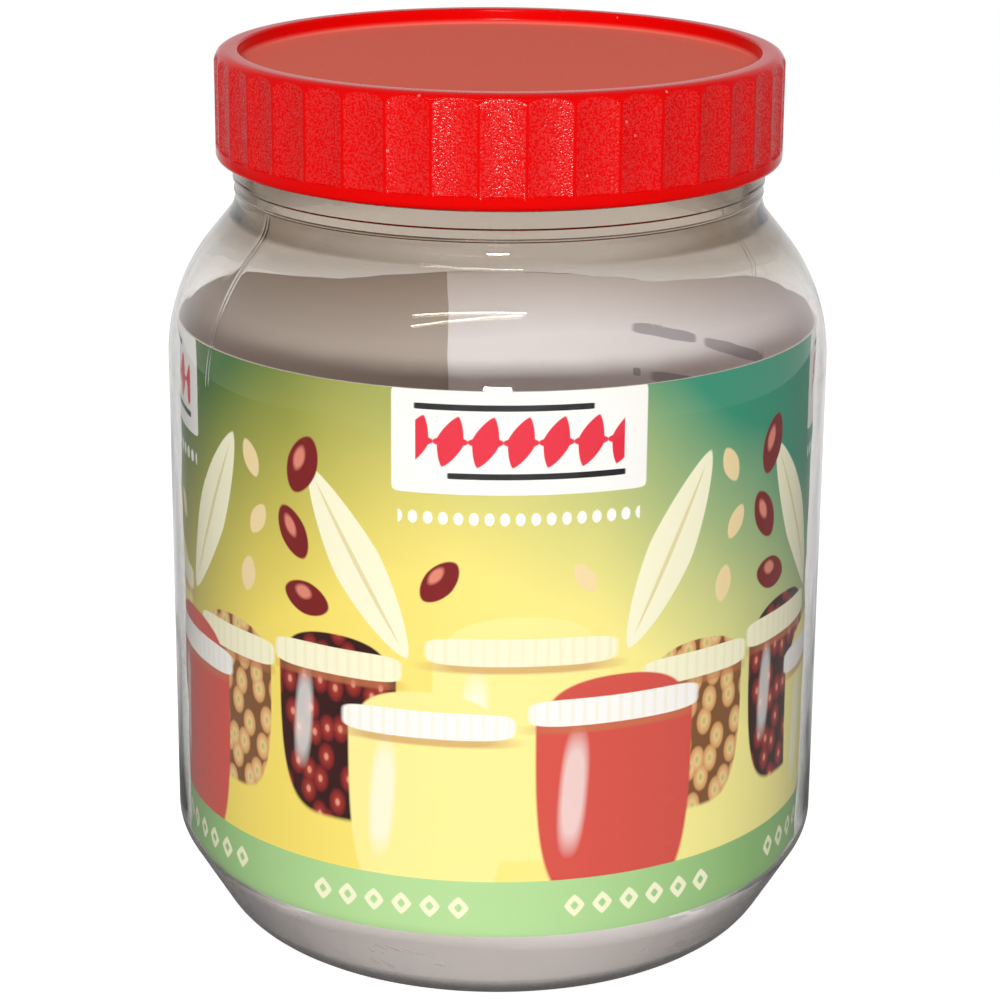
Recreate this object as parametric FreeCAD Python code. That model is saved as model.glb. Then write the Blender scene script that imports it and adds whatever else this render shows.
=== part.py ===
import FreeCAD, Part
import math
import os

# A clear blown storage jar, its ribbed screw lid, and the printed card rolled up inside it.
# Millimetres.  The jar stands on z = 0 with its axis on Z.  Azimuth 0 looks along -Y, where
# the middle of the front is, and azimuths grow towards +X.

# Body of the jar, outer surface
BODY_RADIUS = 51.0          # straight wall
CORNER_TOP = 18.2           # height where the wall starts to turn in towards the base
CORNER_BEND = 7.1           # radius of that turn
BASE_TILT = 31.0            # degrees from upright of the cone below it
FOOT_BEND = 10.2            # radius from the cone into the foot
FOOT_WIDTH = 2.3            # flat ring that the jar stands on
PUSH_UP = 6.0               # rise of the dome inside the ring
PUSH_UP_BEND = 8.0          # radius from the ring into the dome
SHOULDER_START = 91.8       # height where the wall starts to turn in towards the neck
SHOULDER_BEND = 28.5        # radius of that turn
SHOULDER_TILT = 39.0        # degrees from upright of the shoulder's upper part
NECK_RADIUS = 40.3
NECK_BEND = 5.6             # hollow between the shoulder and the neck

# Blown wall: thin on the body, thicker towards the moulded neck
WALL = 0.6
BASE_WALL = 0.9
NECK_WALL = 1.8
INNER_SHOULDER_START = 91.8
INNER_SHOULDER_BEND = 27.7
INNER_SHOULDER_TILT = 44.0
INNER_NECK_BEND = 5.6

# Neck finish
BEAD_BOTTOM = 119.5         # plain ring just under the lid
BEAD_TOP = 121.9
BEAD_PROUD = 0.35
RIM_ROUND = 0.5

# Lid
LID_RADIUS = 43.1           # over the ridges between the flutes
LID_BOTTOM = 122.35
LID_TOP = 138.8
SKIRT_INSIDE = 41.6
PANEL_THICKNESS = 1.5
PANEL_SINK = 2.4            # depth of the top panel below the raised edge
EDGE_WIDTH = 1.4            # flat top of the raised edge
TOP_ROUND = 1.8
BOTTOM_ROUND = 0.9
EDGE_INNER_ROUND = 0.4
PANEL_FILLET = 0.8
FLUTES = 40
FLUTE_HALF_ANGLE = 4.3      # a narrow land is left between two flutes
FLUTE_DEPTH = 0.36          # below the straight line across the flute
FLUTE_BOTTOM = 124.4        # a plain band is left below the flutes
FRONT_FLUTE = 0.7           # azimuth of the flute nearest the front

# Screw thread: a ridge on the neck, and one inside the lid half a turn's rise below it
THREAD_PITCH = 5.0
THREAD_TURNS = 1.25
THREAD_START = 127.0        # height where the middle of the neck's ridge begins
THREAD_ROOT_WIDTH = 2.4
THREAD_CREST_WIDTH = 1.0
NECK_THREAD_CREST = 41.4
LID_THREAD_CREST = 40.6
THREAD_SINK = 0.4           # how far a ridge's root reaches into its wall

# Rolled card
CARD_THICKNESS = 0.3
CARD_OUTER_RADIUS = 49.4    # at the outer end, where the roll is widest
CARD_LAP_GAP = 0.05         # between the two layers where they lap
CARD_BOTTOM = 14.9          # it stands on the curve above the base
CARD_TOP = 98.2
CARD_INNER_END = 190.0      # azimuth of the end that shows from inside, at the back
CARD_LAP = 24.0             # degrees of lap behind that end
CARD_STEP = 6.0             # degrees between the points that carry the spiral

RIM = LID_TOP - PANEL_SINK - PANEL_THICKNESS
AXIS = FreeCAD.Vector(0, 0, 1)
ORIGIN = FreeCAD.Vector(0, 0, 0)


def profile_point(radius, height):
    """A point of a turned profile, which is drawn in the plane y = 0."""
    return FreeCAD.Vector(radius, 0, height)


def around(radius, azimuth, height):
    """A point at an azimuth counted from -Y towards +X."""
    turn = math.radians(azimuth)
    return FreeCAD.Vector(radius * math.sin(turn), -radius * math.cos(turn), height)


def bend(radius, height, size, start, end):
    """An arc of a profile about the centre (radius, height), angles from +X towards +Z."""
    points = []
    for degrees in (start, (start + end) / 2, end):
        turn = math.radians(degrees)
        points.append(profile_point(radius + size * math.cos(turn), height + size * math.sin(turn)))
    return Part.Arc(*points).toShape()


def first_point(edge):
    return edge.valueAt(edge.FirstParameter)


def last_point(edge):
    return edge.valueAt(edge.LastParameter)


def joined(bends):
    """The bends in order, with a straight edge across each gap and back to the start."""
    edges = []
    for number, piece in enumerate(bends):
        following = bends[(number + 1) % len(bends)]
        edges.append(piece)
        if last_point(piece).distanceToPoint(first_point(following)) > 1e-6:
            edges.append(Part.makeLine(last_point(piece), first_point(following)))
    return edges


def turned(bends):
    """The solid made by turning a closed profile once round the axis."""
    face = Part.Face(Part.Wire(joined(bends)))
    solid = face.revolve(ORIGIN, AXIS, 360)
    return Part.Solid(solid.Shells[0]) if solid.Volume > 0 else Part.Solid(solid.Shells[0].reversed())


def line(start, end):
    return Part.makeLine(profile_point(*start), profile_point(*end))


def dome_bends(ring_radius, height, rise, ring_bend):
    """The dome over the middle of the base and the bend from it down to the ring.

    The two arcs meet where both lean by the same angle.
    """
    both = (ring_radius ** 2 + rise ** 2) / (2 * rise)
    dome = both - ring_bend
    lean = math.degrees(math.asin(ring_radius / both))
    return [
        bend(0, height + rise - dome, dome, 90, 90 - lean),
        bend(ring_radius, height + ring_bend, ring_bend, 270 - lean, 270),
    ]


def foot_radius(wall_radius, corner_bend, foot_bend, height):
    """Radius where the foot's bend meets the flat ring, worked down from the wall."""
    tilt = math.radians(BASE_TILT)
    cone_top = CORNER_TOP - corner_bend * math.sin(tilt)
    cone_bottom = height + foot_bend - foot_bend * math.sin(tilt)
    inward = (cone_top - cone_bottom) * math.tan(tilt)
    return wall_radius - corner_bend * (1 - math.cos(tilt)) - inward - foot_bend * math.cos(tilt)


def neck_height(wall_radius, start, shoulder_bend, tilt, neck_radius, neck_bend):
    """Height where the hollow above the shoulder runs into the upright neck."""
    turn = math.radians(tilt)
    cone_outside = wall_radius - shoulder_bend * (1 - math.cos(turn))
    cone_inside = neck_radius + neck_bend * (1 - math.cos(turn))
    rise = (cone_outside - cone_inside) / math.tan(turn)
    return start + shoulder_bend * math.sin(turn) + rise + neck_bend * math.sin(turn)


def wall_bends(wall_radius, height, corner_bend, foot_bend):
    """The foot and the corner above it, up to the straight wall."""
    foot = foot_radius(wall_radius, corner_bend, foot_bend, height)
    return [
        bend(foot, height + foot_bend, foot_bend, -90, -BASE_TILT),
        bend(wall_radius - corner_bend, CORNER_TOP, corner_bend, -BASE_TILT, 0),
    ]


def shoulder_bends(wall_radius, start, shoulder_bend, tilt, neck_radius, neck_bend):
    """The shoulder and the hollow above it, up to the upright neck."""
    top = neck_height(wall_radius, start, shoulder_bend, tilt, neck_radius, neck_bend)
    return [
        bend(wall_radius - shoulder_bend, start, shoulder_bend, 0, tilt),
        bend(neck_radius + neck_bend, top, neck_bend, 180 + tilt, 180),
    ]


def jar_outside():
    """The jar's outer form, filled solid up to its rim."""
    foot = foot_radius(BODY_RADIUS, CORNER_BEND, FOOT_BEND, 0)
    bead = NECK_RADIUS + BEAD_PROUD
    bends = dome_bends(foot - FOOT_WIDTH, 0, PUSH_UP, PUSH_UP_BEND)
    bends += wall_bends(BODY_RADIUS, 0, CORNER_BEND, FOOT_BEND)
    bends += shoulder_bends(BODY_RADIUS, SHOULDER_START, SHOULDER_BEND, SHOULDER_TILT,
                            NECK_RADIUS, NECK_BEND)
    bends += [
        line((NECK_RADIUS, BEAD_BOTTOM - BEAD_PROUD), (bead, BEAD_BOTTOM)),
        line((bead, BEAD_TOP), (NECK_RADIUS, BEAD_TOP + BEAD_PROUD)),
        bend(NECK_RADIUS - RIM_ROUND, RIM - RIM_ROUND, RIM_ROUND, 0, 90),
        line((0, RIM), (0, PUSH_UP)),
    ]
    return turned(bends)


def jar_inside():
    """The space inside the jar, taken a little past its rim."""
    wall_radius = BODY_RADIUS - WALL
    corner_bend = CORNER_BEND - WALL
    foot_bend = FOOT_BEND - BASE_WALL
    neck_radius = NECK_RADIUS - NECK_WALL
    past_rim = RIM + 1
    foot = foot_radius(wall_radius, corner_bend, foot_bend, BASE_WALL)
    bends = dome_bends(foot - FOOT_WIDTH, BASE_WALL, PUSH_UP, PUSH_UP_BEND - BASE_WALL)
    bends += wall_bends(wall_radius, BASE_WALL, corner_bend, foot_bend)
    bends += shoulder_bends(wall_radius, INNER_SHOULDER_START, INNER_SHOULDER_BEND,
                            INNER_SHOULDER_TILT, neck_radius, INNER_NECK_BEND)
    bends += [
        line((neck_radius, past_rim), (0, past_rim)),
        line((0, past_rim), (0, BASE_WALL + PUSH_UP)),
    ]
    return turned(bends)


def thread(root, crest, start):
    """A helical ridge that stands on the radius root and ends at the radius crest."""
    sink = THREAD_SINK if root > crest else -THREAD_SINK
    path = Part.Wire(Part.makeHelix(THREAD_PITCH, THREAD_PITCH * THREAD_TURNS, root))
    corners = [
        profile_point(root + sink, -THREAD_ROOT_WIDTH / 2),
        profile_point(crest, -THREAD_CREST_WIDTH / 2),
        profile_point(crest, THREAD_CREST_WIDTH / 2),
        profile_point(root + sink, THREAD_ROOT_WIDTH / 2),
    ]
    section = Part.makePolygon(corners + corners[:1])
    ridge = path.makePipeShell([section], True, True)
    ridge.translate(FreeCAD.Vector(0, 0, start))
    return ridge


def make_jar():
    """The clear jar: one blown piece with its base, shoulder, neck and thread."""
    ridge = thread(NECK_RADIUS, NECK_THREAD_CREST, THREAD_START)
    return jar_outside().cut(jar_inside()).fuse(ridge)


def lid_blank():
    """The lid before its flutes and thread: a cap with a sunk top panel."""
    panel_top = LID_TOP - PANEL_SINK
    edge_outside = LID_RADIUS - TOP_ROUND
    edge_inside = edge_outside - EDGE_WIDTH
    recess = edge_inside - EDGE_INNER_ROUND
    return turned([
        line((0, RIM), (0, panel_top)),
        bend(recess - PANEL_FILLET, panel_top + PANEL_FILLET, PANEL_FILLET, 270, 360),
        bend(edge_inside, LID_TOP - EDGE_INNER_ROUND, EDGE_INNER_ROUND, 180, 90),
        bend(edge_outside, LID_TOP - TOP_ROUND, TOP_ROUND, 90, 0),
        bend(LID_RADIUS - BOTTOM_ROUND, LID_BOTTOM + BOTTOM_ROUND, BOTTOM_ROUND, 0, -90),
        line((SKIRT_INSIDE, LID_BOTTOM), (SKIRT_INSIDE, RIM - PANEL_FILLET)),
        bend(SKIRT_INSIDE - PANEL_FILLET, RIM - PANEL_FILLET, PANEL_FILLET, 0, 90),
    ])


def flute_cutters():
    """One upright cylinder per flute, which scoops the lid's side and fades out at the top."""
    half = math.radians(FLUTE_HALF_ANGLE)
    half_width = LID_RADIUS * math.sin(half)
    flute_bend = (half_width ** 2 + FLUTE_DEPTH ** 2) / (2 * FLUTE_DEPTH)
    centre = LID_RADIUS * math.cos(half) - FLUTE_DEPTH + flute_bend
    height = LID_TOP - FLUTE_BOTTOM + 1
    cutters = []
    for number in range(FLUTES):
        azimuth = FRONT_FLUTE + number * 360 / FLUTES
        foot = around(centre, azimuth, FLUTE_BOTTOM)
        cutters.append(Part.makeCylinder(flute_bend, height, foot, AXIS))
    return cutters


def make_lid():
    """The screw lid: forty shallow flutes, a plain band below them and the inner thread."""
    ridge = thread(SKIRT_INSIDE, LID_THREAD_CREST, THREAD_START - THREAD_PITCH / 2)
    return lid_blank().cut(flute_cutters()).fuse(ridge)


def card_side(inward):
    """One side of the rolled card as a spiral, from its inner end to its outer end."""
    total = 360 + CARD_LAP
    rise_per_turn = CARD_THICKNESS + CARD_LAP_GAP
    steps = round(total / CARD_STEP)
    points = []
    for number in range(steps + 1):
        along = total * number / steps
        radius = CARD_OUTER_RADIUS - inward - rise_per_turn * (total - along) / 360
        points.append(around(radius, CARD_INNER_END - along, CARD_BOTTOM))
    spiral = Part.BSplineCurve()
    spiral.interpolate(points)
    return spiral.toShape()


def make_card():
    """The printed card: a thin sheet rolled so that its ends lap at the back."""
    outer = card_side(0)
    inner = card_side(CARD_THICKNESS)
    ends = [
        Part.makeLine(last_point(outer), last_point(inner)),
        Part.makeLine(first_point(inner), first_point(outer)),
    ]
    outline = Part.Wire(Part.__sortEdges__([outer, inner] + ends))
    return Part.Face(outline).extrude(FreeCAD.Vector(0, 0, CARD_TOP - CARD_BOTTOM))


def one_solid(shape):
    """The single solid in a shape, checked."""
    if len(shape.Solids) != 1 or not shape.isValid():
        raise ValueError("a piece must be one valid solid")
    return shape.Solids[0]


def main():
    os.makedirs("parts", exist_ok=True)
    pieces = {"jar": make_jar(), "lid": make_lid(), "card": make_card()}
    for name, shape in pieces.items():
        solid = one_solid(shape)
        solid.exportStep("parts/" + name + ".step")
        print(name, round(solid.Volume / 1000, 2), "cm3")


main()
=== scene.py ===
# %% [markdown]
# # A clear storage jar with a ribbed screw lid and a printed card inside
# The jar is blown from clear plastic, the lid is moulded in red plastic, and the card is a printed
# sheet that is rolled up and let into the jar. The solid model of all three is loaded first. It
# gives the places and sizes, and everything below dresses it. Lengths are in metres, the jar
# stands on z = 0 with its axis on Z, and -Y is the front.

# %% Load the solid model
import math

import bmesh
import bpy
from mathutils import Matrix, Quaternion, Vector


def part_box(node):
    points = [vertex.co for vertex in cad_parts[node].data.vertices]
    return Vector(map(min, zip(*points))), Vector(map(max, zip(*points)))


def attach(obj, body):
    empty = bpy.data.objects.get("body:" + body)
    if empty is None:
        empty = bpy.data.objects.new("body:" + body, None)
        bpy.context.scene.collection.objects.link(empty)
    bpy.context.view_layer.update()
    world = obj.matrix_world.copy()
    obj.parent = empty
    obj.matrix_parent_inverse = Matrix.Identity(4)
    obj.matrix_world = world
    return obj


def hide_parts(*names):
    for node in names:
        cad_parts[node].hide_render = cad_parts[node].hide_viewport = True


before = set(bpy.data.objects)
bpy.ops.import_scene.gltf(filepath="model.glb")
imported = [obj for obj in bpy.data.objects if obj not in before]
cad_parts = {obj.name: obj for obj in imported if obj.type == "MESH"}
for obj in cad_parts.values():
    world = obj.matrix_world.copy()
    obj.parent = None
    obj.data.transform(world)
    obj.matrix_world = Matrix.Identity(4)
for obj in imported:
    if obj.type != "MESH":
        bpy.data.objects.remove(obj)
bpy.context.view_layer.update()
MM = 0.001

# %% [markdown]
# ## Sizes that the pieces share
# A turned piece is easy to redraw when its main sizes come from one place. The outside of the jar,
# the height of the lid and the height of the card are read from the solid model. The lid's width
# and the bends are given in millimetres.

# %% Read the main sizes
jar_low, jar_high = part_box("jar")
lid_low, lid_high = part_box("lid")
card_low, card_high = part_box("card")
BODY_RADIUS = round(jar_high.y / MM, 2)
RIM = jar_high.z / MM
LID_RADIUS = 43.1
LID_BOTTOM = lid_low.z / MM
LID_TOP = lid_high.z / MM
CARD_BOTTOM = card_low.z / MM
CARD_TOP = card_high.z / MM
print("body radius", BODY_RADIUS, "rim", round(RIM, 2), "lid", round(LID_BOTTOM, 2), round(LID_TOP, 2))
print("card from", round(CARD_BOTTOM, 2), "to", round(CARD_TOP, 2))

# %% [markdown]
# ## Drawing with straight lines and bends
# A jar like this is drawn as half of its cross-section: a row of bends with straight lines between
# them. Each bend becomes a short row of points. Points that lie closer together than a hundredth
# of a millimetre are one point.

# %% Helpers for the drawing


def bend(radius, height, size, start, end, steps=10):
    """Points on an arc about (radius, height); angles in degrees from outwards to upwards."""
    points = []
    for number in range(steps + 1):
        turn = math.radians(start + (end - start) * number / steps)
        points.append((radius + size * math.cos(turn), height + size * math.sin(turn)))
    return points


def stretch(start, end, steps):
    """Points on a straight line, both ends included."""
    return [
        (start[0] + (end[0] - start[0]) * n / steps, start[1] + (end[1] - start[1]) * n / steps)
        for n in range(steps + 1)
    ]


def drawn(*rows):
    """All rows of points one after another, without doubled points."""
    line = []
    for row in rows:
        for point in row:
            if not line or math.dist(point, line[-1]) > 0.01:
                line.append(point)
    return line


# %% [markdown]
# ## The jar's cross-section
# The base is pushed up in the middle so that the jar stands on a narrow ring. Above the ring the
# wall leans out, turns upright, and stays straight up to the shoulder, which turns in to the neck.
# The inside follows the outside at the wall's thickness: 0.6 mm on the body, where the plastic is
# blown thin, and up to 1.8 mm in the neck, which the blowing doesn't stretch.

# %% Draw the jar
BASE_TILT = 31.0
CORNER_TOP = 18.2
CORNER_BEND = 7.1
FOOT_BEND = 10.2
FOOT_WIDTH = 2.3
PUSH_UP = 6.0
PUSH_UP_BEND = 8.0
NECK_RADIUS = 40.3
WALL = 0.6
BASE_WALL = 0.9
NECK_WALL = 1.8
BEAD_BOTTOM = 119.5
BEAD_TOP = 121.9
BEAD_PROUD = 0.35


def dome(ring_radius, height, ring_bend):
    """The pushed-up middle of the base and the bend down to the ring."""
    both = (ring_radius**2 + PUSH_UP**2) / (2 * PUSH_UP)
    lean = math.degrees(math.asin(ring_radius / both))
    top = both - ring_bend
    return drawn(
        bend(0, height + PUSH_UP - top, top, 90, 90 - lean, 16),
        bend(ring_radius, height + ring_bend, ring_bend, 270 - lean, 270, 6),
    )


def corner(wall_radius, height, corner_bend, foot_bend):
    """The foot, the cone above it and the turn into the upright wall."""
    tilt = math.radians(BASE_TILT)
    cone_top = CORNER_TOP - corner_bend * math.sin(tilt)
    cone_bottom = height + foot_bend - foot_bend * math.sin(tilt)
    inward = (cone_top - cone_bottom) * math.tan(tilt)
    foot = wall_radius - corner_bend * (1 - math.cos(tilt)) - inward - foot_bend * math.cos(tilt)
    return foot, drawn(
        bend(foot, height + foot_bend, foot_bend, -90, -BASE_TILT, 10),
        bend(wall_radius - corner_bend, CORNER_TOP, corner_bend, -BASE_TILT, 0, 8),
    )


def shoulder(wall_radius, start, size, tilt, neck_radius, neck_bend):
    """The shoulder, and the hollow above it that runs into the neck."""
    turn = math.radians(tilt)
    outer = wall_radius - size * (1 - math.cos(turn))
    inner = neck_radius + neck_bend * (1 - math.cos(turn))
    top = start + size * math.sin(turn) + (outer - inner) / math.tan(turn) + neck_bend * math.sin(turn)
    return drawn(
        bend(wall_radius - size, start, size, 0, tilt, 16),
        bend(neck_radius + neck_bend, top, neck_bend, 180 + tilt, 180, 10),
    )


foot_outside, corner_outside = corner(BODY_RADIUS, 0, CORNER_BEND, FOOT_BEND)
foot_inside, corner_inside = corner(
    BODY_RADIUS - WALL, BASE_WALL, CORNER_BEND - WALL, FOOT_BEND - BASE_WALL
)
bead = NECK_RADIUS + BEAD_PROUD
jar_base = dome(foot_outside - FOOT_WIDTH, 0, PUSH_UP_BEND)
jar_wall = drawn(
    corner_outside,
    stretch((BODY_RADIUS, CORNER_TOP), (BODY_RADIUS, 91.8), 30),
    shoulder(BODY_RADIUS, 91.8, 28.5, 39.0, NECK_RADIUS, 5.6),
)
jar_neck = drawn(
    bend(NECK_RADIUS - 0.14, 117.65, 0.32, -62, 62, 6),
    [(NECK_RADIUS, BEAD_BOTTOM - BEAD_PROUD)],
    [(bead, BEAD_BOTTOM), (bead, BEAD_TOP), (NECK_RADIUS, BEAD_TOP + BEAD_PROUD)],
)
jar_finish = stretch((NECK_RADIUS, BEAD_TOP + 0.6), (NECK_RADIUS, RIM - 0.5), 34)
jar_lip = bend(NECK_RADIUS - 0.5, RIM - 0.5, 0.5, 0, 90, 5)
jar_inside = drawn(
    stretch((NECK_RADIUS - NECK_WALL, RIM), (NECK_RADIUS - NECK_WALL, 118.2), 3),
    shoulder(BODY_RADIUS - WALL, 91.8, 27.7, 44.0, NECK_RADIUS - NECK_WALL, 5.6)[::-1],
    stretch((BODY_RADIUS - WALL, 91.0), (BODY_RADIUS - WALL, CORNER_TOP), 6),
    corner_inside[::-1],
    dome(foot_inside - FOOT_WIDTH, BASE_WALL, PUSH_UP_BEND - BASE_WALL)[::-1],
)
jar_line = drawn(jar_base, jar_wall, jar_neck, jar_finish, jar_lip, jar_inside)
print("jar drawn with", len(jar_line), "points")

# %% [markdown]
# ## Building node trees in a script
# A node tree is a list of nodes and of wires between them. These helpers add a node, wire each
# named input either to another node or to a plain value, and hand back its first output, so that
# a sum reads almost like a sum. A socket knows which tree it belongs to, so most helpers need not
# be told. The same helpers serve the shape trees and the material trees.

# %% Helpers for node trees


def add(tree, kind, inputs=None, **settings):
    """A new node. Its settings come first, because some of them change which sockets it has."""
    node = tree.nodes.new(kind)
    for name, value in settings.items():
        setattr(node, name, value)
    for key, value in (inputs or {}).items():
        wire(tree, value, node.inputs[key])
    return node


def wire(tree, value, socket):
    """Give a socket a wire if value is a socket, and otherwise a plain value."""
    if isinstance(value, bpy.types.NodeSocket):
        tree.links.new(value, socket)
    else:
        socket.default_value = value


def calc(operation, *numbers):
    """One step of arithmetic, in the tree that its first socket belongs to."""
    sockets = [n for n in numbers if isinstance(n, bpy.types.NodeSocket)]
    tree = sockets[0].id_data
    return add(tree, "ShaderNodeMath", dict(enumerate(numbers)), operation=operation).outputs[0]


def plus(first, second):
    """A sum."""
    return calc("ADD", first, second)


def minus(first, second):
    """A difference."""
    return calc("SUBTRACT", first, second)


def times(first, second):
    """A product."""
    return calc("MULTIPLY", first, second)


def over(first, second):
    """A quotient."""
    return calc("DIVIDE", first, second)


def limited(value):
    """A number kept between 0 and 1."""
    return add(value.id_data, "ShaderNodeClamp", {"Value": value}).outputs[0]


def noise(place, scale, detail):
    """Cloudy numbers about one half. A higher scale makes the clouds smaller."""
    inputs = {"Vector": place, "Scale": scale, "Detail": detail}
    return add(place.id_data, "ShaderNodeTexNoise", inputs).outputs[0]


def split(place):
    """The three numbers in a place."""
    return add(place.id_data, "ShaderNodeSeparateXYZ", {0: place}).outputs


def new_group(name, kind, inputs, outputs):
    """An empty node group with named sockets. Each is (name, socket type, default or None)."""
    tree = bpy.data.node_groups.new(name, kind)
    for title, socket_type, value in inputs:
        socket = tree.interface.new_socket(name=title, in_out="INPUT", socket_type=socket_type)
        if value is not None:
            socket.default_value = value
    for title, socket_type in outputs:
        tree.interface.new_socket(name=title, in_out="OUTPUT", socket_type=socket_type)
    return tree, tree.nodes.new("NodeGroupInput").outputs, tree.nodes.new("NodeGroupOutput").inputs


# %% [markdown]
# ## Turning a drawing on its axis
# A lathe or a mould gives every turned piece the same rule: each point of the cross-section runs
# once round the axis. The Spin tool or the Screw modifier would do that with even steps. Here a
# grid is bent instead, so that the columns can stand closer together where a flute or a mould line
# needs them. The mesh that goes in only carries numbers: first the points of the cross-section,
# then the directions of the columns.

# %% The turning group
turning, given, made = new_group(
    "turn a drawing",
    "GeometryNodeTree",
    [
        ("Drawing", "NodeSocketGeometry", None),
        ("Points", "NodeSocketInt", 10),
        ("Columns", "NodeSocketInt", 36),
    ],
    [("Mesh", "NodeSocketGeometry")],
)
grid = add(
    turning,
    "GeometryNodeMeshGrid",
    {"Vertices X": given["Columns"], "Vertices Y": given["Points"]},
)
number = add(turning, "GeometryNodeInputIndex").outputs[0]
column = calc("FLOOR", over(number, given["Points"]))
row = minus(number, times(column, given["Points"]))
place = add(turning, "GeometryNodeInputPosition").outputs[0]


def looked_up(index):
    """The place of one point of the drawing, as three numbers."""
    found = add(
        turning,
        "GeometryNodeSampleIndex",
        {"Geometry": given["Drawing"], "Value": place, "Index": index},
        data_type="FLOAT_VECTOR",
    )
    return split(found.outputs[0])


point = looked_up(row)
direction = looked_up(plus(column, given["Points"]))["X"]
bent = add(
    turning,
    "ShaderNodeCombineXYZ",
    {
        "X": times(point["X"], calc("SINE", direction)),
        "Y": times(point["X"], times(calc("COSINE", direction), -1.0)),
        "Z": point["Z"],
    },
)
moved = add(
    turning,
    "GeometryNodeSetPosition",
    {"Geometry": grid.outputs["Mesh"], "Position": bent.outputs[0]},
)
noted = add(
    turning,
    "GeometryNodeStoreNamedAttribute",
    {"Geometry": moved.outputs[0], "Name": "row", "Value": row},
    data_type="FLOAT",
    domain="POINT",
)
wire(turning, noted.outputs[0], made["Mesh"])
print("turning group has", len(turning.nodes), "nodes")

# %% [markdown]
# ## Moving points in and out
# The thread, the flutes, the mould line and the unevenness of the wall only move points in or out
# from the axis, so each is a group that works out how far. Modelled this way, each piece stays one
# closed skin. These helpers find a point's distance from the axis, pick the rows of the drawing
# that a group may touch, and move the points.

# %% Helpers shared by the groups


def polar(tree):
    """Position as x, y, z, and the distance from the axis."""
    here = add(tree, "GeometryNodeInputPosition").outputs[0]
    xyz = split(here)
    squares = plus(calc("POWER", xyz["X"], 2.0), calc("POWER", xyz["Y"], 2.0))
    return here, xyz, calc("SQRT", squares)


def in_rows(tree, first, last):
    """1 on the rows of the drawing from first to last, and 0 elsewhere."""
    row = add(
        tree, "GeometryNodeInputNamedAttribute", {"Name": "row"}, data_type="FLOAT"
    ).outputs["Attribute"]
    after = calc("GREATER_THAN", row, minus(first, 0.5))
    return times(after, calc("LESS_THAN", row, plus(last, 0.5)))


def moving_group(name, numbers):
    """An empty group that takes a mesh, two rows of the drawing and more numbers."""
    numbers = {"First Row": 0.0, "Last Row": 1.0, **numbers}
    sockets = [(title, "NodeSocketFloat", value) for title, value in numbers.items()]
    sockets.insert(0, ("Mesh", "NodeSocketGeometry", None))
    return new_group(name, "GeometryNodeTree", sockets, [("Mesh", "NodeSocketGeometry")])


def at_radius(tree, geometry, here, radius, new_radius):
    """Move each point straight out or in to a new distance from the axis."""
    factor = over(new_radius, calc("MAXIMUM", radius, 1e-6))
    scale = add(tree, "ShaderNodeCombineXYZ", {"X": factor, "Y": factor, "Z": 1.0}).outputs[0]
    target = add(tree, "ShaderNodeVectorMath", {0: here, 1: scale}, operation="MULTIPLY").outputs[0]
    return add(tree, "GeometryNodeSetPosition", {"Geometry": geometry, "Position": target}).outputs[0]


# %% [markdown]
# ## The screw thread
# A thread is a ridge that climbs round the neck like a coil. The Screw modifier could sweep its
# profile, but the ridge would then be a second body that has to be joined to the neck. Here each
# point asks how far above or below the coil it lies. On the crest it is raised fully and on the
# flanks partly, and both ends of the coil fade softly into the neck.

# %% The thread group
threading, given, made = moving_group(
    "raise a thread",
    {
        "Height": 1.1 * MM,
        "Start": 127 * MM,
        "Pitch": 5 * MM,
        "Turns": 1.25,
        "Root Width": 2.4 * MM,
        "Crest Width": 1 * MM,
    },
)
here, xyz, radius = polar(threading)
angle = calc("ARCTAN2", xyz["Y"], xyz["X"])
share = calc("FRACT", plus(over(angle, math.tau), 1.0))
climbed = over(minus(xyz["Z"], given["Start"]), given["Pitch"])
coil = calc("ROUND", minus(climbed, share))
turned_by = plus(share, coil)
aside = calc("ABSOLUTE", times(minus(climbed, turned_by), given["Pitch"]))
flank = minus(over(given["Root Width"], 2.0), aside)
slope = over(minus(given["Root Width"], given["Crest Width"]), 2.0)
raised = limited(over(flank, slope))
run_in = limited(times(turned_by, 20.0))
left = minus(given["Turns"], turned_by)
run_out = limited(times(left, 20.0))
both_ends = times(run_in, run_out)
share_up = times(raised, both_ends)
allowed = times(share_up, in_rows(threading, given["First Row"], given["Last Row"]))
wider = plus(radius, times(allowed, given["Height"]))
wire(threading, at_radius(threading, given["Mesh"], here, radius, wider), made["Mesh"])
print("thread group has", len(threading.nodes), "nodes")

# %% [markdown]
# ## Flutes for the fingers
# Each flute of the lid is the hollow that an upright cylinder would cut out of the skirt. Forty
# Boolean cuts could make them, and would leave many small edges to clean. Here each point works
# out where that cylinder's wall stands and steps back to it. It also notes that it was scooped,
# since the hollows have a grain of their own, and the lid's material looks the note up.

# %% The flute group
fluting, given, made = moving_group(
    "scoop flutes",
    {
        "Flutes": 40.0,
        "First Azimuth": 0.0,
        "Half Angle": math.radians(4.3),
        "Radius": 43.1 * MM,
        "Depth": 0.36 * MM,
        "Bottom": 124.4 * MM,
    },
)
here, xyz, radius = polar(fluting)
azimuth = calc("ARCTAN2", xyz["X"], times(xyz["Y"], -1.0))
pitch = over(math.tau, given["Flutes"])
shifted = minus(azimuth, given["First Azimuth"])
counted = over(shifted, pitch)
aside = times(minus(counted, calc("ROUND", counted)), pitch)
half_width = times(given["Radius"], calc("SINE", given["Half Angle"]))
cutter = over(
    plus(calc("POWER", half_width, 2.0), calc("POWER", given["Depth"], 2.0)),
    times(given["Depth"], 2.0),
)
chord = times(given["Radius"], calc("COSINE", given["Half Angle"]))
centre = plus(minus(chord, given["Depth"]), cutter)
across = times(centre, calc("SINE", aside))
reach = minus(calc("POWER", cutter, 2.0), calc("POWER", across, 2.0))
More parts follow.
